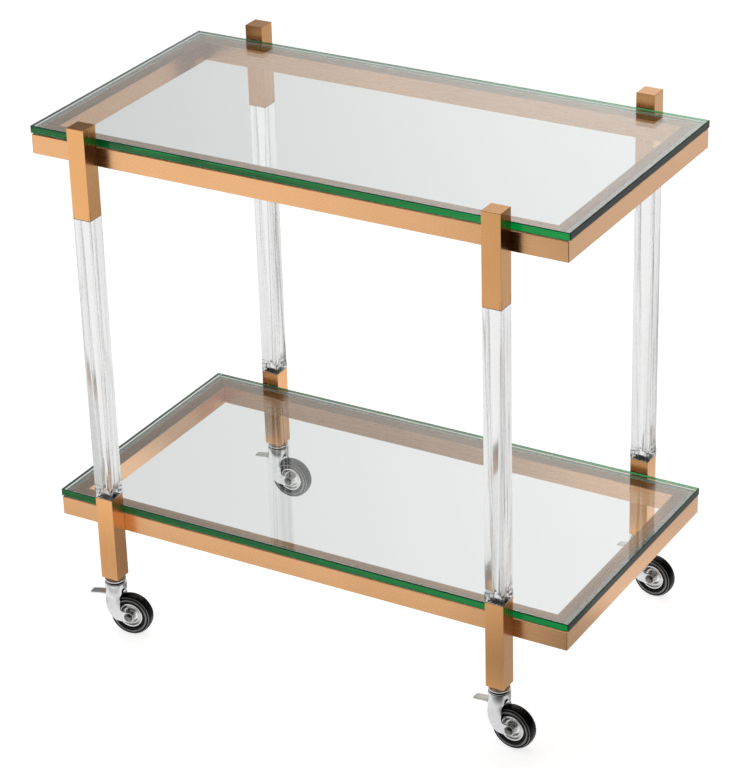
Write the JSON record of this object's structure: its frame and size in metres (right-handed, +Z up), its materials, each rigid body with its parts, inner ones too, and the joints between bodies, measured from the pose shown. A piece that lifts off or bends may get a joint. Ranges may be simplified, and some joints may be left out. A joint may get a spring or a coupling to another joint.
{
  "type": "bar cart",
  "caption": "Rectangular bar cart with framed glass shelves, square legs of brass and clear acrylic, and swivel casters with toe brakes.",
  "frame": {"origin": "on the floor under the middle of the cart", "axes": "+X along the long side, +Y to the back, +Z up"},
  "size_m": [0.75, 0.449, 0.722],
  "materials": {
    "brushed_brass": "brushed along the tube, lacquered",
    "shelf_glass": "clear float glass with a green edge, polished arris",
    "clear_acrylic": "polished clear",
    "clear_strip": "clear, satin",
    "bolt_steel": "bright zinc",
    "caster_chrome": "bright plated",
    "wheel_steel": "stamped and plated",
    "dark_seal": "matt",
    "tyre_rubber": "satin, ribbed"
  },
  "bodies": {
    "cart": {"lower_front_rail": "brushed_brass", "lower_right_rail": "brushed_brass", "lower_back_rail": "brushed_brass", "lower_left_rail": "brushed_brass", "lower_glazing_strip": "clear_strip", "lower_glass": "shelf_glass", "upper_front_rail": "brushed_brass", "upper_right_rail": "brushed_brass", "upper_back_rail": "brushed_brass", "upper_left_rail": "brushed_brass", "upper_glazing_strip": "clear_strip", "upper_glass": "shelf_glass", "upper_post_front_left": "brushed_brass", "lower_post_front_left": "brushed_brass", "acrylic_column_front_left": "clear_acrylic", "caster_stem_front_left": "caster_chrome", "swivel_seal_front_left": "dark_seal", "upper_post_front_right": "brushed_brass", "lower_post_front_right": "brushed_brass", "acrylic_column_front_right": "clear_acrylic", "caster_stem_front_right": "caster_chrome", "swivel_seal_front_right": "dark_seal", "upper_post_back_left": "brushed_brass", "lower_post_back_left": "brushed_brass", "acrylic_column_back_left": "clear_acrylic", "caster_stem_back_left": "caster_chrome", "swivel_seal_back_left": "dark_seal", "upper_post_back_right": "brushed_brass", "lower_post_back_right": "brushed_brass", "acrylic_column_back_right": "clear_acrylic", "caster_stem_back_right": "caster_chrome", "swivel_seal_back_right": "dark_seal"},
    "fork_front_left": {"caster_fork_front_left": "caster_chrome", "axle_bolt_front_left": "bolt_steel"},
    "wheel_front_left": {"wheel_disc_front_left": "wheel_steel", "tyre_front_left": "tyre_rubber"},
    "brake_front_left": {"brake_lever_front_left": "caster_chrome"},
    "fork_front_right": {"caster_fork_front_right": "caster_chrome", "axle_bolt_front_right": "bolt_steel"},
    "wheel_front_right": {"wheel_disc_front_right": "wheel_steel", "tyre_front_right": "tyre_rubber"},
    "brake_front_right": {"brake_lever_front_right": "caster_chrome"},
    "fork_back_left": {"caster_fork_back_left": "caster_chrome", "axle_bolt_back_left": "bolt_steel"},
    "wheel_back_left": {"wheel_disc_back_left": "wheel_steel", "tyre_back_left": "tyre_rubber"},
    "brake_back_left": {"brake_lever_back_left": "caster_chrome"},
    "fork_back_right": {"caster_fork_back_right": "caster_chrome", "axle_bolt_back_right": "bolt_steel"},
    "wheel_back_right": {"wheel_disc_back_right": "wheel_steel", "tyre_back_right": "tyre_rubber"},
    "brake_back_right": {"brake_lever_back_right": "caster_chrome"}
  },
  "joints": [
    {"name": "swivel_front_left", "type": "hinge", "parent": "cart", "child": "fork_front_left", "pos_m": [-0.2873, -0.2065, 0.076], "axis": [0, 0, 1], "continuous": true},
    {"name": "wheel_spin_front_left", "type": "hinge", "parent": "fork_front_left", "child": "wheel_front_left", "pos_m": [-0.26662, -0.20285, 0.029], "axis": [-0.1736, 0.9848, 0], "continuous": true},
    {"name": "brake_press_front_left", "type": "hinge", "parent": "fork_front_left", "child": "brake_front_left", "pos_m": [-0.29173, -0.20728, 0.055], "axis": [0.1736, -0.9848, 0], "range_deg": [0, 14]},
    {"name": "swivel_front_right", "type": "hinge", "parent": "cart", "child": "fork_front_right", "pos_m": [0.2873, -0.2065, 0.076], "axis": [0, 0, 1], "continuous": true},
    {"name": "wheel_spin_front_right", "type": "hinge", "parent": "fork_front_right", "child": "wheel_front_right", "pos_m": [0.30825, -0.20797, 0.029], "axis": [0.0698, 0.9976, 0], "continuous": true},
    {"name": "brake_press_front_right", "type": "hinge", "parent": "fork_front_right", "child": "brake_front_right", "pos_m": [0.28281, -0.20619, 0.055], "axis": [-0.0698, -0.9976, 0], "range_deg": [0, 14]},
    {"name": "swivel_back_left", "type": "hinge", "parent": "cart", "child": "fork_back_left", "pos_m": [-0.2873, 0.2065, 0.076], "axis": [0, 0, 1], "continuous": true},
    {"name": "wheel_spin_back_left", "type": "hinge", "parent": "fork_back_left", "child": "wheel_back_left", "pos_m": [-0.26633, 0.2076, 0.029], "axis": [-0.0523, 0.9986, 0], "continuous": true},
    {"name": "brake_press_back_left", "type": "hinge", "parent": "fork_back_left", "child": "brake_back_left", "pos_m": [-0.29179, 0.20626, 0.055], "axis": [0.0523, -0.9986, 0], "range_deg": [0, 14]},
    {"name": "swivel_back_right", "type": "hinge", "parent": "cart", "child": "fork_back_right", "pos_m": [0.2873, 0.2065, 0.076], "axis": [0, 0, 1], "continuous": true},
    {"name": "wheel_spin_back_right", "type": "hinge", "parent": "fork_back_right", "child": "wheel_back_right", "pos_m": [0.30818, 0.2043, 0.029], "axis": [0.1045, 0.9945, 0], "continuous": true},
    {"name": "brake_press_back_right", "type": "hinge", "parent": "fork_back_right", "child": "brake_back_right", "pos_m": [0.28282, 0.20697, 0.055], "axis": [-0.1045, -0.9945, 0], "range_deg": [0, 14]}
  ]
}
